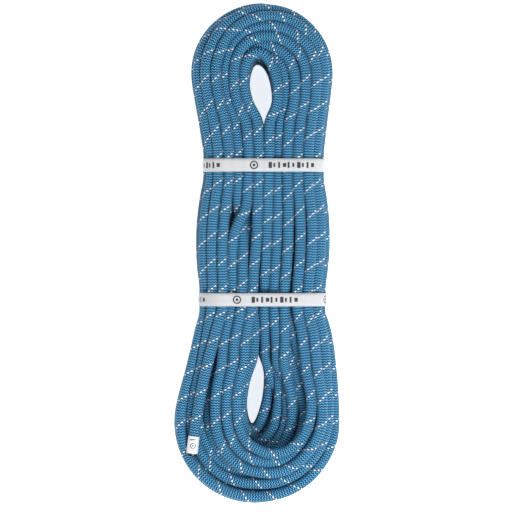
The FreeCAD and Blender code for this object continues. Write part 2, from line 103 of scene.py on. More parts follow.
class RopeColours(bpy.types.PropertyGroup):
    """Colours of the yarns and of the printed pieces, as sRGB codes."""

    light_yarn: colour("Light yarn", "Lighter of the two sheath yarns", "66CCFF")
    dark_yarn: colour("Dark yarn", "Darker of the two sheath yarns", "001E5A")
    # Painted shade: the colour the yarns darken to at their edges and ends, where they go down
    # between each other.
    gap: colour("Between yarns", "Shade between the yarns", "010810")
    tracer: colour("Tracer yarn", "Single white yarn in the sheath", "FFFFFF")
    paper: colour("Paper", "Coated paper of the bands", "D3D4D6")
    ink: colour("Ink", "Print on the bands and labels", "3B3E42")
    film: colour("Label film", "Heat-shrunk film of the end labels", "F1F2F3")
    seal: colour("Seal", "Melted end of the rope", "10222F")
    glue: colour("Glue", "Glue under the bands' laps", "C9B47A")
    table: colour("Table", "Floor under the hank", "F8F9FA")
    core: colour("Core", "Core strands", "EDEBE4")
    marker: colour("Marker yarn", "Coloured yarn in the core", "E0B020")


def linear(code):
    """Linear colour of an sRGB hex code."""
    parts = [int(code[i:i + 2], 16) / 255 for i in (0, 2, 4)]
    return [p / 12.92 if p <= 0.04045 else ((p + 0.055) / 1.055) ** 2.4 for p in parts] + [1.0]


# ---------------------------------------------------------------- nodes of a material

def node(tree, kind, inputs=(), output=0, **settings):
    """Add a node with its settings and inputs, each a value or a socket, and give its output."""
    made = tree.nodes.new(kind)
    for name, value in settings.items():
        setattr(made, name, value)
    for place, value in inputs.items() if isinstance(inputs, dict) else enumerate(inputs):
        if isinstance(value, bpy.types.NodeSocket):
            tree.links.new(value, made.inputs[place])
        else:
            made.inputs[place].default_value = value
    return made.outputs[output] if made.outputs else None


def material(name, sources, steps, surface):
    """A material. The sources are its first values, each line of the steps works out one more
    from a name, an operation and its terms, and surface makes the shader from them all."""
    made = bpy.data.materials.new(name)
    made.use_nodes = True
    tree = made.node_tree
    tree.nodes.clear()
    value = sources(tree)
    for line in steps.strip().splitlines():
        step, operation, *terms = line.split()
        inputs = [value[term] if term in value else float(term) for term in terms]
        value[step] = node(tree, "ShaderNodeMath", inputs, operation=operation)
    node(tree, "ShaderNodeOutputMaterial", {"Surface": surface(tree, value)})
    return made


# ---------------------------------------------------------------- the hank's shape, in millimetres

class HankShape:
    """Outline of the hank in plan, and its rounded envelope."""

    def __init__(self, settings):
        self.rope = settings.diameter / MM
        self.radius = self.rope / 2
        self.round = settings.edge_round / MM
        self.depth = HANK_HIGH.z / MM
        self.upper_radius = settings.upper_radius / MM
        self.lower_radius = settings.lower_radius / MM
        self.upper = np.array([5.0, HANK_HIGH.y / MM - self.upper_radius])
        self.lower = np.array([0.0, HANK_LOW.y / MM + self.lower_radius])
        self.upper_eye, self.upper_eye_half = np.array([4.0, 153.0]), np.array([10.0, 26.0])
        self.lower_eye, self.lower_eye_half = np.array([-1.0, -128.0]), np.array([7.0, 30.0])
        self.mouth, self.mouth_half = np.array([16.0, -136.0]), np.array([29.0, 40.0])
        self.upper_band, self.lower_band = UPPER_BAND.y / MM, LOWER_BAND.y / MM
        self.seat = (BAND_WIDTH + 2 * TRAVEL) / MM + SEAT_MARGIN
        self.necks = {}
        for name in ("upper", "lower"):
            low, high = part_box(name + "_band")
            self.necks[name] = (low.x / MM + BAND_WALL, high.x / MM - BAND_WALL)
        self.make_field()

    def leg_edge(self, y, hand):
        """Outer edge between the crowns' middles, on the left (-1) or the right (1)."""
        side = 0 if hand < 0 else 1
        upper_neck = self.necks["upper"][side] + hand * SOFT_SIDE
        lower_neck = self.necks["lower"][side] + hand * SOFT_SIDE
        half = self.seat / 2
        y_upper, y_lower = self.upper_band - half, self.lower_band + half
        heights = [self.lower[1], self.lower[1] + LOWER_STRETCH, self.lower_band - half, y_lower,
                   y_upper, self.upper_band + half, self.upper[1] - UPPER_STRETCH, self.upper[1]]
        edges = [self.lower[0] + hand * self.lower_radius,
                 self.lower[0] + hand * TAPER * self.lower_radius,
                 lower_neck, lower_neck, upper_neck, upper_neck,
                 self.upper[0] + hand * TAPER * self.upper_radius,
                 self.upper[0] + hand * self.upper_radius]
        along = np.clip((y - y_lower) / (y_upper - y_lower), 0, 1)
        flare = self.lower_band - half - FLARE_BELOW
        below = np.clip((flare - y) / (flare - self.lower[1]), 0, 1)
        fuller = BELLY * 4 * along * (1 - along)
        fuller += (hand > 0) * RIGHT_FLARE * np.sin(math.pi * np.sqrt(below))
        return np.interp(y, heights, edges) + hand * fuller

    def inner_edge(self, y, hand):
        """Edge towards the middle: the eyes, and the line where the legs meet between them."""
        upper, lower = self.upper_eye, self.lower_eye
        heights = [lower[1] - self.lower_eye_half[1], lower[1] + self.lower_eye_half[1],
                   self.lower_band, self.upper_band,
                   upper[1] - self.upper_eye_half[1], self.upper[1]]
        line = np.interp(y, heights, [lower[0], lower[0] + 2, 2.0, 6.8, upper[0] + 3, upper[0]])
        opening = np.zeros_like(y)
        for eye, half in ((upper, self.upper_eye_half), (lower, self.lower_eye_half)):
            inside = np.clip(1 - ((y - eye[1]) / half[1]) ** 2, 0, 1)
            opening = np.maximum(opening, half[0] * np.sqrt(inside))
        return line + hand * opening

    def loops(self, leg_steps, upper_steps, lower_steps):
        """Outermost and innermost loop, sampled alike, with the stage of each sample.

        The stage goes from 0 to 4: down the left leg, round the lower crown, up the right leg
        and over the upper crown."""
        leg = np.linspace(0, 1, leg_steps, endpoint=False)
        low = np.linspace(0, 1, lower_steps, endpoint=False)
        top = np.linspace(0, 1, upper_steps, endpoint=False)
        lower_start = self.lower_eye[1] - LOWER_SHIFT
        down_out = self.upper[1] + (self.lower[1] - self.upper[1]) * leg
        down_in = self.upper_eye[1] + (lower_start - self.upper_eye[1]) * leg
        up_out = self.lower[1] + (self.upper[1] - self.lower[1]) * leg
        up_in = lower_start + (self.upper_eye[1] - lower_start) * leg
        under, over = math.pi * (1 + low), math.pi * top
        outer = [np.stack([self.leg_edge(down_out, -1), down_out], 1),
                 self.lower + self.lower_radius * np.stack([np.cos(under), np.sin(under)], 1),
                 np.stack([self.leg_edge(up_out, 1), up_out], 1),
                 self.upper + self.upper_radius * np.stack([np.cos(over), np.sin(over)], 1)]
        lower_tip = self.lower_eye_half[1] - LOWER_SHIFT
        inner = [np.stack([self.inner_edge(down_in, -1), down_in], 1),
                 np.stack([self.lower_eye[0] + self.lower_eye_half[0] * np.cos(under),
                           lower_start + lower_tip * np.sin(under)], 1),
                 np.stack([self.inner_edge(up_in, 1), up_in], 1),
                 self.upper_eye + self.upper_eye_half * np.stack([np.cos(over), np.sin(over)], 1)]
        stage = np.concatenate([leg, 1 + low, 2 + leg, 3 + top])
        return np.concatenate(outer), np.concatenate(inner), stage

    def make_field(self):
        """Distance to the outline on a grid over the plan, negative inside."""
        self.cell = 2.0
        self.corner = np.array([-100.0, -250.0])
        count = (101, 251)
        outline = self.loops(120, 120, 120)[0]
        x = self.corner[0] + np.arange(count[0]) * self.cell
        y = self.corner[1] + np.arange(count[1]) * self.cell
        grid = np.stack([a.ravel() for a in np.meshgrid(x, y, indexing="ij")], 1)
        nearest = np.full(len(grid), np.inf)
        inside = np.zeros(len(grid), bool)
        for start, end in zip(outline, np.roll(outline, -1, axis=0)):
            side = end - start
            span = side @ side
            if span == 0:
                continue
            along = np.clip(((grid - start) @ side) / span, 0, 1)
            gap = grid - start - along[:, None] * side
            nearest = np.minimum(nearest, np.hypot(gap[:, 0], gap[:, 1]))
            crosses = (start[1] > grid[:, 1]) != (end[1] > grid[:, 1])
            if side[1]:
                at = side[0] * (grid[:, 1] - start[1]) / side[1] + start[0]
                inside ^= crosses & (grid[:, 0] < at)
        self.field = np.where(inside, -nearest, nearest).reshape(count)

    def distance(self, points):
        """Distance to the outline at each point, and its slope in x and y."""
        place = (points[:, :2] - self.corner) / self.cell
        i, j = np.clip(place.astype(int), 0, np.array(self.field.shape) - 2).T
        a, b = place[:, 0] - i, place[:, 1] - j
        f00, f10 = self.field[i, j], self.field[i + 1, j]
        f01, f11 = self.field[i, j + 1], self.field[i + 1, j + 1]
        value = (1 - a) * ((1 - b) * f00 + b * f01) + a * ((1 - b) * f10 + b * f11)
        slope_x = ((1 - b) * (f10 - f00) + b * (f11 - f01)) / self.cell
        slope_y = ((1 - a) * (f01 - f00) + a * (f11 - f10)) / self.cell
        return value, slope_x, slope_y

    def keep_inside(self, points):
        """Move points of the rope's middle into the envelope; the bands press it in."""
        value, slope_x, slope_y = self.distance(points)
        half = self.seat / 2
        press = np.zeros(len(points))
        for band in (self.upper_band, self.lower_band):
            away = np.abs(points[:, 1] - band) - half
            press = np.maximum(press, 1 - ease(away, *PRESS_FADE))
        height = points[:, 2] - self.depth / 2
        side = value + SIDE_PRESS * press + self.round
        face = np.abs(height) - self.depth / 2 + FACE_PRESS * press + self.round
        out, up = np.maximum(side, 0), np.maximum(face, 0)
        reach = np.hypot(out, up)
        excess = reach - self.round + np.minimum(np.maximum(side, face), 0) + self.radius
        flat = reach < 1e-9
        safe = np.maximum(reach, 1e-9)
        share_out = np.where(flat, side > face, out / safe)
        share_up = np.where(flat, side <= face, up / safe)
        excess = np.maximum(excess, 0)
        moved = points.copy()
        moved[:, 0] -= excess * share_out * slope_x
        moved[:, 1] -= excess * share_out * slope_y
        moved[:, 2] -= excess * share_up * np.sign(height)
        return moved

    def keep_clear(self, points, eye, half, lean, chosen=True):
        """Move points of the rope's middle out of an upright oval opening that leans by a slope."""
        reach = half + self.radius
        centre_x = eye[0] + lean * (points[:, 1] - eye[1])
        scaled = np.column_stack([points[:, 0] - centre_x, points[:, 1] - eye[1]]) / reach
        size = np.hypot(scaled[:, 0], scaled[:, 1])
        slope = scaled / reach
        steep = np.maximum(np.hypot(slope[:, 0], slope[:, 1]), 1e-9)
        step = np.where((size < 1) & chosen, (1 - size) * np.maximum(size, 0.02) / steep, 0)
        moved = points.copy()
        moved[:, :2] += slope * (step / steep)[:, None]
        return moved

    def keep_out_of_eyes(self, points, front):
        """Keep the eyes open and the mouth open in the front turns, and slope the rest down to it."""
        points = self.keep_clear(points, self.upper_eye, self.upper_eye_half, UPPER_LEAN)
        points = self.keep_clear(points, self.lower_eye, self.lower_eye_half, LOWER_LEAN)
        points = self.keep_clear(points, self.mouth, self.mouth_half, 0.0, front)
        top = self.depth - self.radius - MOUTH_RIM
        for share in (0.2, 0.4, 0.6, 0.8, 1.0):
            centre = self.lower_eye + (self.mouth - self.lower_eye) * share
            half = self.lower_eye_half + (self.mouth_half - self.lower_eye_half) * share
            scaled = (points[:, :2] - centre) / half
            inside = (np.hypot(scaled[:, 0], scaled[:, 1]) < 1) & ~front
            highest = top - MOUTH_SLOPE * (1.15 - share)
            points[:, 2] = np.where(inside, np.minimum(points[:, 2], highest), points[:, 2])
        return points


BAND_WALL = 0.55  # from the outside of a band to the rope under it, mm
SEAT_MARGIN = 3.2  # how much longer a band's seat is than its width and travel, mm
SOFT_SIDE = 0.6  # how far the rope's sides would stand out at a band that didn't press them, mm
SIDE_PRESS, FACE_PRESS = 0.85, 1.4  # how far the bands press the sides and the faces in, mm
PRESS_FADE = (1, 8)  # how far beyond a seat the pressing starts to fade, and where it ends, mm
TAPER = 0.985  # share of a crown's half-width that its leg has left after its first stretch
LOWER_STRETCH, UPPER_STRETCH = 14, 10  # length of that stretch at each crown, mm
BELLY = 4.9  # how far the legs swell out between the bands, mm
RIGHT_FLARE, FLARE_BELOW = 4.0, 3.0  # extra swell of the right leg, and where it starts, mm
UPPER_LEAN, LOWER_LEAN = -0.10, 0.13  # slope of each eye's long axis
LOWER_SHIFT = 6  # how far below the eye's middle the innermost lower bend is centred, mm
MOUTH_RIM = 3  # how far the mouth's rim lies below the front turns, mm
MOUTH_SLOPE = 40.0  # how far the mouth slopes down from its rim to the eye, mm


def ease(value, start, end):
    """0 before start, 1 after end, smooth between."""
    share = np.clip((value - start) / (end - start), 0, 1)
    return share * share * (3 - 2 * share)


# ---------------------------------------------------------------- winding the turns

COLUMNS = 6
FULL_SPAN, THIN_SPAN = (0, 5), (0.4, 5.2)  # first and last column of a layer of six, and of five
# Turns laid in each layer, from the underside up; the last layers are laid by their own list.
LAYERS = [5, 6, 6, 6, 6, 5, 6, 5]
# Stages of a turn: 0 down the left leg, 1 lower crown, 2 up the right leg, 3 upper crown.
STAGES = [0.0, 0.36, 0.47, 0.78, 1.0, 1.5, 2.0, 2.13, 2.28, 2.9]
# The columns, and the layers (0 in front), of the last turns at these stages.
LAST_TURNS = [
    # Three turns just under the front ones, which move inwards up the right leg.
    ([0.3, 0.3, 0.3, 0.3, 0.3, 0.5, 0.7, 1.4, 2.2, 2.2],
     [-1, -1, -1, -1, -1, -1, -1.3, -1, -1, -1]),
    ([1.3, 1.3, 1.3, 1.3, 1.3, 1.5, 1.7, 2.4, 3.2, 3.2],
     [-1, -1, -1, -1, -1, -1, -1.3, -1, -1, -1]),
    ([2.3, 2.3, 2.3, 2.3, 2.3, 2.4, 2.4, 3.4, 4.2, 4.2],
     [-1, -1, -1, -1, -1, -1, -2, -1.4, -1, -1]),
    # Three turns just under the front ones, whose right legs come up out of the mouth.
    ([3.3, 3.3, 3.3, 3.3, 3.3, 3, 2.8, 3, 3, 3],
     [-1, -1, -1, -1, -1, -1.2, -1.3, -0.3, 0, 0]),
    ([4.2, 4.2, 4.2, 4.2, 4.2, 3.8, 3.6, 4, 4, 4],
     [-1, -1, -1, -1, -1, -2, -2.3, -1, 0, 0]),
    ([5, 5, 5, 5, 5, 4.6, 4.4, 5, 5, 5],
     [-1, -1, -1, -1, -1, -2.8, -3.3, -1.8, 0, 0]),
    # The innermost front turn, the one that runs aslant down the left leg, and the one it crosses.
    ([5, 5, 5, 4.2, 4.7, 4.4, 2, 2, 2, 2],
     [0, 0, 0, 0, 0, 0, 0, 0, 0, 0]),
    ([4, 4, 2.95, 2.3, 2.7, 2.4, 1.1, 1.1, 1, 1],
     [0, 0, 0, 0, 0, 0, 0, 0, 0, 0]),
    ([3, 3.2, 3.8, 3.25, 3.75, 3.4, 1.6, 1.3, 1, 1],
     [0, 0, 0, 0, 0, 0, -0.8, -1, -1, -1]),
    # The two outermost turns, and the one that ends as the free end.
    ([0, 0, 0, 0, 0, 0.2, 0.1, 0, 0, 0],
     [0, 0, 0, 0, 0, 0, -1.6, -1.6, -1.2, -1.2]),
    ([1, 1, 1, 1, 1, 1.3, 0.2, 0.1, 0, 0],
     [0, 0, 0, 0, 0, 0, -0.3, -0.2, 0, 0]),
    ([2, 2, 2, 2, 2, 2, 2, 2, 2, 2],
     [0, 0, 0, 0, 0, 0, 0, 0, 0, 0]),
]
FRONT_TURNS = 6  # the last of these, which pass in front of the mouth
# Where one front turn crosses its neighbour, how far each moves up or down, and along how much.
CROSSING = {1: (0.43, 4.5, 0.06), 2: (0.42, -6.5, 0.09)}
PASSING_ON = [3.15, 3.85, 4.0]  # stages at which a turn leaves its place, takes the next, and ends
SLACK = 0.3  # between the outer layers and the envelope before the turns settle, mm
WANDER = (0.9, 0.4)  # how much the turns wander, and how much the last ones do, mm
UNDER_BAND = 8  # how far from a band's middle the first turn starts and the last one ends, mm


def wander(steps, size, random):
    """A slow random wave along one turn."""
    full = 2 * math.pi
    along = full * np.arange(steps) / steps
    waves = [random.normal() * np.sin(k * along + random.uniform(0, full)) for k in (1, 2, 3, 4)]
    return size * sum(waves)


def winding_plan():
    """Columns and layers of every turn at each stage, in the order they are wound."""
    plan = []
    for layer, count in enumerate(LAYERS):
        columns = np.linspace(*(FULL_SPAN if count == COLUMNS else THIN_SPAN), count)
        if layer % 2:
            columns = columns[::-1]
        plan += [[(column, layer)] * len(STAGES) for column in columns]
    top = len(LAYERS) + 1
    return plan + [[(column, top + layer) for column, layer in zip(*turn)] for turn in LAST_TURNS]


def wind(shape, seed):
    """Middle line of all turns before they settle, and the number of the turn of each point."""
    random = np.random.default_rng(seed)
    outer, inner, stage = shape.loops(28, 18, 22)
    inward = inner - outer
    inward /= np.linalg.norm(inward, axis=1)[:, None]
    plan = winding_plan()
    lift = (shape.depth - shape.rope - 2 * SLACK) / (len(LAYERS) + 1)
    first_front = len(plan) - FRONT_TURNS
    turns = []
    for number, turn in enumerate(plan):
        following = plan[min(number + 1, len(plan) - 1)]
        at = STAGES + PASSING_ON
        columns, layers = np.array(turn + [turn[-1], following[0], following[0]]).T
        column, layer = np.interp(stage, at, columns), np.interp(stage, at, layers)
        height = shape.radius + SLACK + lift * layer
        if number - first_front in CROSSING:
            where, rise, reach = CROSSING[number - first_front]
            height = height + rise * np.exp(-((stage - where) / reach) ** 2)
        share = (column + 0.5) / COLUMNS
        line = outer + (inner - outer) * share[:, None]
        size = WANDER[number >= len(plan) - len(LAST_TURNS)]
        line = line + inward * wander(len(stage), size, random)[:, None]
        height = height + wander(len(stage), size, random)
        turns.append(np.column_stack([line, height, np.full(len(stage), number)]))
    # The first turn starts, and the last one ends, where a band covers the rope.
    started = turns[0][:, 1] < shape.upper_band + UNDER_BAND
    started[stage >= 1] = True
    turns[0] = turns[0][started]
    ended = (stage < 1) & (turns[-1][:, 1] > shape.lower_band - UNDER_BAND)
    turns[-1] = turns[-1][ended]
    return np.concatenate(turns), first_front


def even_steps(points, step):
    """The same line with points a step apart."""
    along = np.concatenate([[0], np.cumsum(np.linalg.norm(np.diff(points[:, :3], axis=0), axis=1))])
    at = np.linspace(0, along[-1], int(round(along[-1] / step)) + 1)
    return np.column_stack([np.interp(at, along, values) for values in points.T])


def close_pairs(points, reach, skip):
    """Pairs of points nearer than reach and more than skip apart along the rope."""
    low = points.min(0) - reach
    place = ((points - low) / reach).astype(np.int64)
    size = place.max(0) + 2
    key = (place[:, 0] * size[1] + place[:, 1]) * size[2] + place[:, 2]
    order = np.argsort(key, kind="stable")
    cells = int(np.prod(size))
    start = np.searchsorted(key[order], np.arange(cells + 1))
    steps = [(x, y, z) for x in (0, 1) for y in (-1, 0, 1) for z in (-1, 0, 1)
             if (x, y, z) >= (0, 0, 0)]
    firsts, seconds = [], []
    for x, y, z in steps:
        other = key + (x * size[1] + y) * size[2] + z
        index = np.nonzero((other >= 0) & (other < cells))[0]
        begin, end = start[other[index]], start[other[index] + 1]
        count = end - begin
        first = np.repeat(index, count)
        ahead = np.arange(len(first)) - np.repeat(np.cumsum(count) - count, count)
        second = order[np.repeat(begin, count) + ahead]
        if (x, y, z) == (0, 0, 0):
            once = first < second
            first, second = first[once], second[once]
        firsts.append(first)
        seconds.append(second)
    first, second = np.concatenate(firsts), np.concatenate(seconds)
    gap = points[first] - points[second]
    near = (np.abs(first - second) > skip) & ((gap * gap).sum(1) < reach * reach)
    return first[near], second[near]


def spread_along(moves, held, reaches, share):
    """Share each point's move with its neighbours along the rope."""
    for reach in reaches:
        padded = np.pad(moves, ((reach, reach), (0, 0)), mode="edge")
        moves = moves + share * ((padded[:-2 * reach] + padded[2 * reach:]) / 2 - moves)
        moves[held] = 0
    return moves


def settle(start, held, front, shape, rounds):
    """Push turns that overlap apart, inside the envelope, while the rope stays smooth."""
    moves = np.zeros_like(start)
    apart = shape.rope - SOFTNESS
    skip = int(3 * shape.rope / STEP)
    count = len(start)
    for number in range(rounds):
        points = start + moves
        if number % 6 == 0:
            first, second = close_pairs(points, apart + AHEAD, skip)
        gap = points[first] - points[second]
        distance = np.sqrt((gap * gap).sum(1)) + 1e-9
        short = distance < apart
        a, b = first[short], second[short]
        push = gap[short] * ((apart - distance[short]) / distance[short])[:, None]
        share_a = np.where(held[a], 0.0, np.where(held[b], 1.0, 0.5))
        share_b = np.where(held[b], 0.0, np.where(held[a], 1.0, 0.5))
        touches = np.bincount(a, minlength=count) + np.bincount(b, minlength=count)
        for axis in range(3):
            pushed = np.bincount(a, push[:, axis] * share_a, minlength=count)
            pushed -= np.bincount(b, push[:, axis] * share_b, minlength=count)
            points[:, axis] += PUSH * pushed / np.maximum(touches, 1)
        points = shape.keep_inside(shape.keep_out_of_eyes(points, front))
        moves = (RELEASE if number < RELEASED * rounds else 1.0) * (points - start)
        moves[held] = 0
        reaches, share = ((1,), 0.15) if number >= rounds - ENDING else ((4, 2, 1), 0.35)
        moves = spread_along(moves, held, reaches, share)
    return start + moves


SOFTNESS = 0.1  # how far touching strands may press into each other, mm
AHEAD = 3.5  # how much farther apart the watched pairs may be, mm
PUSH = 1.6  # how much of the gap that a strand lacks it moves in a round
ENDING = 30  # last rounds, which smooth the rope less
RELEASE = 0.985  # share of a move that stays each round, so that turns come back where they can
RELEASED = 0.65  # share of the rounds in which they do
STEP = 5.0  # between the points that settle, mm
ROUNDS, QUICK_ROUNDS = 320, 60


def rope_route(settings):
    """Control points of the whole rope, in metres: hidden end, turns, front end."""
    shape = HankShape(settings)
    back, front = np.array(BACK_TAIL)[::-1] / MM, np.array(FRONT_TAIL) / MM
    turns, first_front = wind(shape, settings.seed)
    back_turn, front_turn = np.zeros((len(back), 1)), np.full((len(front), 1), turns[-1, 3])
    line = np.concatenate([np.hstack([back, back_turn]), turns, np.hstack([front, front_turn])])
    line = even_steps(line, STEP)
    line, in_front = line[:, :3], line[:, 3] > first_front - 0.5
    from_start = np.concatenate([[0], np.cumsum(np.linalg.norm(np.diff(line, axis=0), axis=1))])
    back_length = np.linalg.norm(np.diff(back, axis=0), axis=1).sum()
    front_length = np.linalg.norm(np.diff(front, axis=0), axis=1).sum()
    held = (from_start <= back_length) | (from_start >= from_start[-1] - front_length)
    settled = settle(line, held, in_front, shape, ROUNDS)
    route = np.concatenate([back, settled[~held], front]) * MM
    return [tuple(p) for p in route]


def spline_line(points):
    """Points along the smooth line that has these control points."""
    curve = bpy.data.curves.new("rope_line", "CURVE")
    curve.dimensions = "3D"
    spline = curve.splines.new("NURBS")
    spline.points.add(len(points) - 1)
    for place, point in zip(spline.points, points):
        place.co = (*point, 1.0)
    spline.order_u = 3
    spline.use_endpoint_u = True
    spline.resolution_u = 4
    carrier = bpy.data.objects.new("rope_line", curve)
    mesh = bpy.data.meshes.new_from_object(carrier)
    line = np.empty(len(mesh.vertices) * 3)
    mesh.vertices.foreach_get("co", line)
    bpy.data.objects.remove(carrier)
    bpy.data.curves.remove(curve)
    bpy.data.meshes.remove(mesh)
    return line.reshape(-1, 3)


def carried_frames(line):
    """Directions along and across a line, carried from point to point without twist."""
    along = np.gradient(line, axis=0)
    along /= np.linalg.norm(along, axis=1)[:, None]
    side = np.empty_like(line)
    side[0] = np.cross(along[0], (0, 0, 1))
    side[0] /= np.linalg.norm(side[0])
    for i in range(1, len(line)):
        carried = side[i - 1] - along[i] * (side[i - 1] @ along[i])
        side[i] = carried / math.sqrt(carried @ carried)
    return along, side, np.cross(along, side)


def add_map(mesh, name, values):
    """Give a mesh a map with a place for every corner of its faces."""
    layer = mesh.uv_layers.new(name=name)
    layer.data.foreach_set("uv", np.asarray(values, dtype=np.float32).ravel())


def tube_mesh(name, line, radius, sides, pitch):
    """A closed tube along a line, with maps that count turns round and pitches along."""
    along, side, across = carried_frames(line)
    angle = 2 * math.pi * np.arange(sides) / sides
    cosine, sine = np.cos(angle)[None, :, None], np.sin(angle)[None, :, None]
    ring = side[:, None] * cosine + across[:, None] * sine
    points = (line[:, None] + radius * ring).reshape(-1, 3)
    rings = len(line)
    row, column = np.meshgrid(np.arange(rings - 1), np.arange(sides), indexing="ij")
    right = (column + 1) % sides
    quads = np.stack([row * sides + column, row * sides + right,
                      (row + 1) * sides + right, (row + 1) * sides + column], -1).reshape(-1, 4)
    caps = [list(range(sides))[::-1], [(rings - 1) * sides + k for k in range(sides)]]
    mesh = bpy.data.meshes.new(name)
    mesh.from_pydata(points.tolist(), [], quads.tolist() + caps)
    step = np.linalg.norm(np.diff(line, axis=0), axis=1)
    distance = np.concatenate([[0], np.cumsum(step)]) / pitch
    u = np.stack([column, column + 1, column + 1, column], -1) / sides
    v = np.stack([distance[row], distance[row], distance[row + 1], distance[row + 1]], -1)
    flat = np.stack([u, v], -1).reshape(-1, 2)
    cap_map = np.zeros((2 * sides, 2))
    add_map(mesh, "Braid", np.concatenate([flat, cap_map]))
    # For baking, every pitch of rope shares one tile, because the braid repeats.
    start = row % RINGS_PER_PITCH
    tile_v = np.stack([start, start, start + 1, start + 1], -1) / RINGS_PER_PITCH
    tile = np.stack([u, tile_v], -1).reshape(-1, 2) * TILE + (1 - TILE) / 2
    add_map(mesh, "OFBake", np.concatenate([tile, cap_map + 0.02]))
    mesh.polygons.foreach_set("use_smooth", [True] * (len(quads)) + [False] * 2)
    return mesh


RINGS_PER_PITCH = 5  # rings of faces in one pitch of the braid
TILE = 0.4  # side of the baking tile, as a share of the whole map


# ---------------------------------------------------------------- materials

PRINCIPLED = "ShaderNodeBsdfPrincipled"
MIX = "ShaderNodeMix"  # on colours: 0 is the share, 6 and 7 the colours, and 2 the colour out


def braided_polyamide(settings, colours):
    """Braided polyamide sheath: two-over-two yarns in two blues, and one white tracer yarn.
    Matt filament yarn, so it is rough with a soft sheen, and each yarn stands up from the gaps."""

    def sources(tree):
        uv = node(tree, "ShaderNodeUVMap", uv_map="Braid")
        return {"turn": node(tree, "ShaderNodeSeparateXYZ", [uv], 0),
                "pitch": node(tree, "ShaderNodeSeparateXYZ", [uv], 1),
                "yarns": float(settings.carriers), "pi": math.pi, "quarter": math.pi / 2,
                "filaments": 2 * math.pi * FILAMENTS, "crimp": CRIMP}

    # Yarns climb the rope both ways round. A yarn's number is the whole part of its place, and
    # the rest is the place across it. Where two cross, the phase says which one is on top.
    # The tracer is a thicker yarn, so each of its floats shows as an oval white dot.
    steps = """
            minus SUBTRACT turn pitch
            plus ADD turn pitch
            a MULTIPLY minus yarns
            b MULTIPLY plus yarns
            a_number FLOOR a
            b_number FLOOR b
            a_rest FRACT a
            b_rest FRACT b
            both ADD a_number b_number
            phase FLOORED_MODULO both 4
            b_top GREATER_THAN phase 1.5
            a_top SUBTRACT 1 b_top
            rest_step SUBTRACT b_rest a_rest
            under MULTIPLY_ADD rest_step a_top a_rest
            since MULTIPLY_ADD b_top -2 phase
            along ADD since under
            float_angle MULTIPLY along quarter
            swell SINE float_angle
            from_middle SUBTRACT along 1
            step SUBTRACT b a
            top_yarn MULTIPLY_ADD step b_top a
            tilted MULTIPLY_ADD from_middle crimp top_yarn
            number FLOOR tilted
            across FRACT tilted
            across_angle MULTIPLY across pi
            crown SINE across_angle
            round_crown POWER crown 0.6
            swelling MULTIPLY_ADD swell 0.7 0.3
            height MULTIPLY round_crown swelling
            filament_angle MULTIPLY across filaments
            filament SINE filament_angle
            relief MULTIPLY_ADD filament 0.04 height
            dark FLOORED_MODULO number 2
            from_seam ADD a 1
            own FLOORED_MODULO from_seam yarns
            aside SUBTRACT own 1.5
            float_place FLOORED_MODULO b 4
            ahead SUBTRACT float_place 1
            wide MULTIPLY aside 1.25
            wide_square MULTIPLY wide wide
            spread MULTIPLY_ADD ahead ahead wide_square
            tracer LESS_THAN spread 1
            lit_gap MULTIPLY tracer 0.7
            shown ADD height lit_gap
        """

    def surface(tree, value):
        light, dark = linear(colours.light_yarn), linear(colours.dark_yarn)
        tracer = linear(colours.tracer)
        yarn = node(tree, MIX, {0: value["dark"], 6: light, 7: dark}, 2, data_type="RGBA")
        yarn = node(tree, MIX, {0: value["tracer"], 6: yarn, 7: tracer}, 2, data_type="RGBA")
        # Painted shade: each yarn darkens to the colour between yarns towards its edges and where it
        # dives under, while the tracer's dots are kept out of this shade.
        depth = node(tree, "ShaderNodeMapRange", {0: value["shown"], 1: 0.18, 2: 0.7})
        seen = node(tree, MIX, {0: depth, 6: linear(colours.gap), 7: yarn}, 2, data_type="RGBA")
        normal = node(tree, "ShaderNodeBump", {"Strength": 0.5, "Distance": YARN_RELIEF,
                                               "Height": value["relief"]})
        return node(tree, PRINCIPLED, {"Base Color": seen, "Roughness": 0.62, "Normal": normal,
                                       "Sheen Weight": 0.15, "Sheen Roughness": 0.4,
                                       "Specular IOR Level": 0.3})

    return material("braided_polyamide_sheath", sources, steps, surface)


YARN_RELIEF = 0.5 * MM  # from the gaps up to the top of a yarn
CRIMP = 0.2  # how much steeper than its yarn a float stands, because the yarn bends at its ends
FILAMENTS = 8  # drawn across a yarn; the real ones are far finer


def plain_finish(name, code, roughness, grain_mm, relief_mm, more):
    """A finish with a fine grain of the given size in its colour, gloss and relief."""

    def sources(tree):
        place = node(tree, "ShaderNodeTexCoord", output="Object")
        return {"grain": node(tree, "ShaderNodeTexNoise", {
            "Vector": place, "Scale": 1 / (grain_mm * MM), "Detail": 4.0}),
            "low": roughness - 0.075}

    def surface(tree, value):
        base = linear(code)
        darker = [part * 0.82 for part in base[:3]] + [1.0]
        seen = node(tree, MIX, {0: value["grain"], 6: darker, 7: base}, 2, data_type="RGBA")
        normal = node(tree, "ShaderNodeBump", {"Strength": 0.3, "Distance": relief_mm * MM,
                                               "Height": value["grain"]})
        return node(tree, PRINCIPLED, {"Base Color": seen, "Roughness": value["gloss"],
                                       "Normal": normal, **more})

    return material(name, sources, "gloss MULTIPLY_ADD grain 0.15 low", surface)


# The print on the bands, in mm along the strip from the middle of its front face.
RING_AT = {"upper": -2.3, "lower": -17.7}
RING_RADIUS, PRINT_PERIOD = 3.8, 86.0
BARS_FROM, BARS_TO, BAR_PERIOD = 18.0, 61.0, 4.3


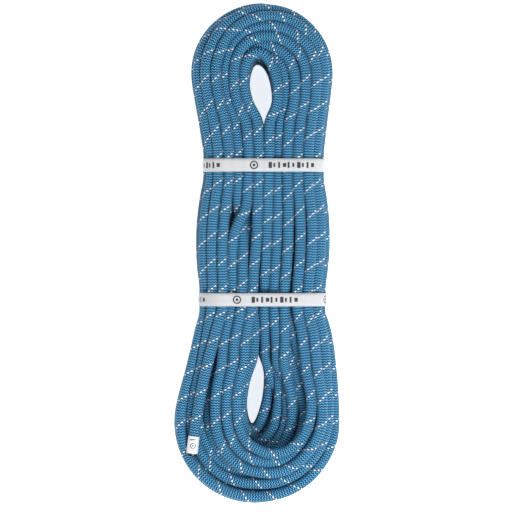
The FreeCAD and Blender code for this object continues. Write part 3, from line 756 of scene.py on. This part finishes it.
def printed_paper(which, colours):
    """Coated paper, smooth and slightly glossy, printed in grey: a ring with a dot, then bars.
    Every third bar is wide and every second one short."""

    def sources(tree):
        uv = node(tree, "ShaderNodeUVMap", uv_map="Strip")
        return {"place": node(tree, "ShaderNodeSeparateXYZ", [uv], 0),
                "across": node(tree, "ShaderNodeSeparateXYZ", [uv], 1),
                "start": RING_AT[which] - RING_RADIUS - 1, "repeat": PRINT_PERIOD,
                "ring_at": RING_RADIUS + 1, "outside": RING_RADIUS, "inside": RING_RADIUS - 1.2,
                "bars_from": BARS_FROM, "bars_to": BARS_TO, "bar_period": BAR_PERIOD}

    steps = """
            from_start SUBTRACT place start
            along FLOORED_MODULO from_start repeat
            ring_x SUBTRACT along ring_at
            ring_xx MULTIPLY ring_x ring_x
            ring_square MULTIPLY_ADD across across ring_xx
            radius SQRT ring_square
            in_ring LESS_THAN radius outside
            off_middle GREATER_THAN radius inside
            ring MULTIPLY in_ring off_middle
            dot LESS_THAN radius 1.3
            from_bars SUBTRACT along bars_from
            bar_place DIVIDE from_bars bar_period
            bar_number FLOOR bar_place
            bar_across FRACT bar_place
            third FLOORED_MODULO bar_number 3
            wide LESS_THAN third 0.5
            short FLOORED_MODULO bar_number 2
            width MULTIPLY_ADD wide 0.3 0.42
            reach MULTIPLY_ADD short -0.9 2.7
            off_line ABSOLUTE across
            in_width LESS_THAN bar_across width
            in_height LESS_THAN off_line reach
            after GREATER_THAN along bars_from
            before LESS_THAN along bars_to
            bar_shape MULTIPLY in_width in_height
            bar_span MULTIPLY after before
            bar MULTIPLY bar_shape bar_span
            badge ADD ring dot
            printed ADD badge bar
            ink MINIMUM printed 1
            gloss MULTIPLY_ADD ink -0.1 0.42
        """

    def surface(tree, value):
        plain, ink = linear(colours.paper), linear(colours.ink)
        seen = node(tree, MIX, {0: value["ink"], 6: plain, 7: ink}, 2, data_type="RGBA")
        return node(tree, PRINCIPLED, {"Base Color": seen, "Roughness": value["gloss"],
                                       "Specular IOR Level": 0.4})

    return material(f"printed_coated_paper_{which}", sources, steps, surface)


def printed_film(end, colours):
    """White heat-shrunk film, glossy, with a small grey ring and a line printed on it."""

    def sources(tree):
        place = node(tree, "ShaderNodeTexCoord", output="Object")
        centre = middle(f"{end}_end_label") / MM
        return {"east": node(tree, "ShaderNodeSeparateXYZ", [place], 0),
                "north": node(tree, "ShaderNodeSeparateXYZ", [place], 1),
                "per_metre": 1 / MM, "minus_x": -centre.x, "minus_y": -centre.y}

    steps = """
            x MULTIPLY_ADD east per_metre minus_x
            y MULTIPLY_ADD north per_metre minus_y
            ring_y ADD y 1
            xx MULTIPLY x x
            square MULTIPLY_ADD ring_y ring_y xx
            radius SQRT square
            off_ring SUBTRACT radius 2.2
            ring_gap ABSOLUTE off_ring
            ring LESS_THAN ring_gap 0.35
            dot LESS_THAN radius 0.8
            off_line SUBTRACT y 4.6
            line_gap ABSOLUTE off_line
            line_height LESS_THAN line_gap 0.5
            off_middle ABSOLUTE x
            line_width LESS_THAN off_middle 2.6
            line MULTIPLY line_height line_width
            round ADD ring dot
            printed ADD round line
            ink MINIMUM printed 1
            gloss MULTIPLY_ADD ink -0.05 0.3
        """

    def surface(tree, value):
        plain, ink = linear(colours.film), linear(colours.ink)
        seen = node(tree, MIX, {0: value["ink"], 6: plain, 7: ink}, 2, data_type="RGBA")
        return node(tree, PRINCIPLED, {"Base Color": seen, "Roughness": value["gloss"]})

    return material(f"printed_shrink_film_{end}", sources, steps, surface)


def glowing_pale_floor(colours):
    """Pale matt floor that glows a little: painted light that keeps it white where the hank shades it
    and down in the eyes.
    """

    def surface(tree, value):
        pale = linear(colours.table)
        # Painted light: the floor's glow stands in for light on the hank's shadow and in its eyes,
        # and it also lights the rope's lower edges a little.
        return node(tree, PRINCIPLED, {"Base Color": pale, "Roughness": 0.9,
                                       "Emission Color": pale, "Emission Strength": 0.85})

    return material("glowing_pale_floor", lambda tree: {}, "", surface)


def band_mesh(which):
    """A strip round the hank that dips a little between the strands, its end lapped underneath."""
    low, high = (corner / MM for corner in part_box(f"{which}_band"))
    corner = 22.0
    lap_start, lap_end, climb = 18.0, -2.0, 5.0
    # Outline of the outer face from the lap's start, to the left under the hank and round it.
    points, inward = [], []

    def add(x, z, nx, nz):
        points.append((x, z))
        inward.append((nx, nz))

    left, right, bottom, top = low.x + corner, high.x - corner, low.z + corner, high.z - corner
    base = low.z + BAND_LIFT
    for x in np.arange(lap_start, left, -2.0):
        add(x, base, 0, 1)
    quarter = np.radians(np.linspace(0, 90, 16))
    for angle in quarter:
        add(left - corner * math.sin(angle), bottom - (corner - BAND_LIFT) * math.cos(angle),
            math.sin(angle), math.cos(angle))
    for z in np.arange(bottom + 2, top - 1, 2.0):
        add(low.x, z, 1, 0)
    for angle in quarter:
        add(left - corner * math.cos(angle), top + corner * math.sin(angle),
            math.cos(angle), -math.sin(angle))
    for x in np.arange(left + 1, right - 0.5, 1.0):
        add(x, high.z, 0, -1)
    for angle in quarter:
        add(right + corner * math.sin(angle), top + corner * math.cos(angle),
            -math.sin(angle), -math.cos(angle))
    for z in np.arange(top - 2, bottom + 1, -2.0):
        add(high.x, z, -1, 0)
    for angle in quarter:
        add(right + corner * math.cos(angle), bottom - (corner - BAND_LIFT) * math.sin(angle),
            -math.cos(angle), math.sin(angle))
    for x in np.arange(right - 2, lap_end, -2.0):
        lowered = BAND_LIFT * ease(right - x, right - lap_start - climb, right - lap_start)
        add(x, base - lowered, 0, 1)
    points, inward = np.array(points), np.array(inward)
    step = np.linalg.norm(np.diff(points, axis=0), axis=1)
    along = np.concatenate([[0], np.cumsum(step)])
    front = int(np.argmin(np.hypot(points[:, 0], points[:, 1] - high.z)))
    along -= along[front] - points[front, 0]
    straight = np.abs(inward).max(1) > 0.999
    dip = RIPPLE * (0.5 - 0.5 * np.cos(2 * math.pi * along / STRAND_SPACING)) * straight
    outer = points + inward * dip[:, None]
    inner = outer + inward * PAPER
    rows = np.linspace(-0.5, 0.5, 5) * BAND_WIDTH / MM
    mesh = bpy.data.meshes.new(f"{which}_paper")
    count, made = len(points), bmesh.new()
    strip = made.loops.layers.uv.new("Strip")
    centre = middle(f"{which}_band").y / MM
    grid = [[[made.verts.new((x * MM, (centre + row) * MM, z * MM)) for row in rows]
             for x, z in side] for side in (outer, inner)]

    def face(corners):
        made.faces.new([corner[0] for corner in corners]).smooth = True
        made.faces.ensure_lookup_table()
        for loop, (_, u, v) in zip(made.faces[-1].loops, corners):
            loop[strip].uv = (u, v)

    last = len(rows) - 1
    for i in range(count - 1):
        for j in range(last):
            for side in (0, 1):
                ring = [(i, j), (i + 1, j), (i + 1, j + 1), (i, j + 1)][::1 if side else -1]
                shift = OFF_PRINT if side else 0.0
                face([(grid[side][a][b], along[a] + shift, rows[b] + shift) for a, b in ring])
        for j in (0, last):
            ring = [(0, i), (0, i + 1), (1, i + 1), (1, i)][::1 if j == 0 else -1]
            face([(grid[s][a][j], along[a], rows[j] + OFF_PRINT) for s, a in ring])
    for i in (0, count - 1):
        for j in range(last):
            ring = [(0, j), (1, j), (1, j + 1), (0, j + 1)][::1 if i == 0 else -1]
            face([(grid[s][i][b], along[i], rows[b] + OFF_PRINT) for s, b in ring])
    bmesh.ops.recalc_face_normals(made, faces=made.faces)
    made.to_mesh(mesh)
    made.free()
    return mesh


PAPER = 0.25  # thickness of the bands' paper, mm
RIPPLE, STRAND_SPACING = 0.22, 9.6  # how far the paper dips between strands, and their spacing, mm
BAND_LIFT = 0.35  # lap's thickness below the strip it lies on, mm
OFF_PRINT = 500.0  # a place on the strip's map that has no print


# ---------------------------------------------------------------- operators

def settings_of(context):
    return context.scene.rope_settings, context.scene.rope_colours


def finish_node(name, material):
    """Give a piece that comes from the frame its finish."""
    for place in bpy.data.objects[name].material_slots:
        place.material = material


def add_piece(name, mesh, body, material):
    """Put a mesh in the scene as a piece that rides on a body."""
    piece = bpy.data.objects.new(name, mesh)
    bpy.context.scene.collection.objects.link(piece)
    mesh.materials.clear()
    mesh.materials.append(material)
    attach(piece, body)
    return piece


class ROPE_OT_rope(bpy.types.Operator):
    """Wind the rope, let its turns settle and cover it with its braided sheath"""

    bl_idname = "rope.rope"
    bl_label = "Rope"

    def execute(self, context):
        settings, colours = settings_of(context)
        route = rope_route(settings)
        fine = spline_line(route)
        line = even_steps(fine, settings.pitch / RINGS_PER_PITCH)
        mesh = tube_mesh("rope", line, settings.diameter / 2, settings.sides, settings.pitch)
        rope = add_piece("rope", mesh, "rope", braided_polyamide(settings, colours))
        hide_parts("rope_hank", "front_end_sheath", "back_end_sheath")
        return {"FINISHED"}


class ROPE_OT_bands(bpy.types.Operator):
    """Wrap the two printed paper bands round the hank and glue their laps"""

    bl_idname = "rope.bands"
    bl_label = "Bands"

    def execute(self, context):
        colours = settings_of(context)[1]
        glue = plain_finish("hot_melt_glue", colours.glue, 0.35, 1.5, 0.02, {})
        for which in ("upper", "lower"):
            paper = add_piece(f"{which}_paper_band", band_mesh(which), f"{which}_band",
                              printed_paper(which, colours))
            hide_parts(f"{which}_band")
            finish_node(f"{which}_band_glue", glue)
        return {"FINISHED"}


class ROPE_OT_ends(bpy.types.Operator):
    """Finish the labels, the melted seals and the cores of the two free ends"""

    bl_idname = "rope.ends"
    bl_label = "Free ends"

    def execute(self, context):
        colours = settings_of(context)[1]
        seal = plain_finish("melted_polyamide_seal", colours.seal, 0.28, 0.8, 0.15, {})
        sheen = {"Sheen Weight": 0.2}
        core = plain_finish("twisted_polyamide_core", colours.core, 0.8, 0.4, 0.1, sheen)
        marker = plain_finish("dyed_marker_yarn", colours.marker, 0.8, 0.4, 0.1, sheen)
        for end in ("front", "back"):
            finish_node(f"{end}_end_label", printed_film(end, colours))
            finish_node(f"{end}_end_seal", seal)
            finish_node(f"{end}_core_marker", marker)
            for number in range(1, CORE_STRANDS + 1):
                finish_node(f"{end}_core_strand_{number:02d}", core)
        return {"FINISHED"}


CORE_STRANDS = 14  # in each free end


class ROPE_OT_stage(bpy.types.Operator):
    """Set the pale floor, the soft light and the camera above the hank"""

    bl_idname = "rope.stage"
    bl_label = "Stage"

    def execute(self, context):
        scene = context.scene
        floor_mesh = bpy.data.meshes.new("floor")
        half = 3.0
        corners = [(-half, -half, 0), (half, -half, 0), (half, half, 0), (-half, half, 0)]
        floor_mesh.from_pydata(corners, [], [(0, 1, 2, 3)])
        floor = bpy.data.objects.new("floor", floor_mesh)
        scene.collection.objects.link(floor)
        floor_mesh.materials.append(glowing_pale_floor(settings_of(context)[1]))

        world = bpy.data.worlds.new("studio")
        world.use_nodes = True
        sky = world.node_tree.nodes["Background"]
        sky.inputs["Color"].default_value = linear("F4F7FA")
        sky.inputs["Strength"].default_value = 0.32
        scene.world = world
        scene.view_settings.view_transform = "Standard"
        for name, place, size, power in LIGHTS:
            light = bpy.data.lights.new(name, "AREA")
            light.shape = "DISK"
            light.size = size
            light.energy = power
            lamp = bpy.data.objects.new(name, light)
            lamp.location = place
            towards = Vector((0, 0, HANK_HIGH.z / 2)) - Vector(place)
            lamp.rotation_euler = towards.to_track_quat("-Z", "Y").to_euler()
            scene.collection.objects.link(lamp)

        camera_data = bpy.data.cameras.new("camera")
        camera_data.sensor_width = 36.0
        camera_data.lens = 182.0
        camera = bpy.data.objects.new("camera", camera_data)
        distance = PICTURE_WIDTH * camera_data.lens / camera_data.sensor_width
        camera.location = (-0.0005, -0.0014, distance + HANK_HIGH.z / 2)
        camera.rotation_euler = (0, 0, 0)
        scene.collection.objects.link(camera)
        scene.camera = camera
        return {"FINISHED"}


# Place, size across and power of each light.
LIGHTS = [("key", (0.7, -0.9, 1.9), 0.9, 41.0), ("fill", (-1.0, 0.9, 2.0), 1.4, 8.0)]
PICTURE_WIDTH = 0.4736  # that the picture spans at the hank's middle height, m


class ROPE_PT_panel(bpy.types.Panel):
    """Lists the pieces in the sidebar"""

    bl_label = "Climbing Rope"
    bl_idname = "ROPE_PT_panel"
    bl_space_type = "VIEW_3D"
    bl_region_type = "UI"
    bl_category = "Rope"

    def draw(self, context):
        for name in OPERATORS:
            self.layout.operator(name)


OPERATORS = ["rope.rope", "rope.bands", "rope.ends", "rope.stage"]
CLASSES = [RopeSettings, RopeColours, ROPE_OT_rope, ROPE_OT_bands, ROPE_OT_ends, ROPE_OT_stage,
           ROPE_PT_panel]


def register():
    for item in CLASSES:
        bpy.utils.register_class(item)
    bpy.types.Scene.rope_settings = PointerProperty(type=RopeSettings)
    bpy.types.Scene.rope_colours = PointerProperty(type=RopeColours)


def unregister():
    del bpy.types.Scene.rope_settings
    del bpy.types.Scene.rope_colours
    for item in reversed(CLASSES):
        bpy.utils.unregister_class(item)


def main():
    register()
    for name in OPERATORS:
        group, operator = name.split(".")
        getattr(getattr(bpy.ops, group), operator)()


if __name__ == "__main__":
    main()
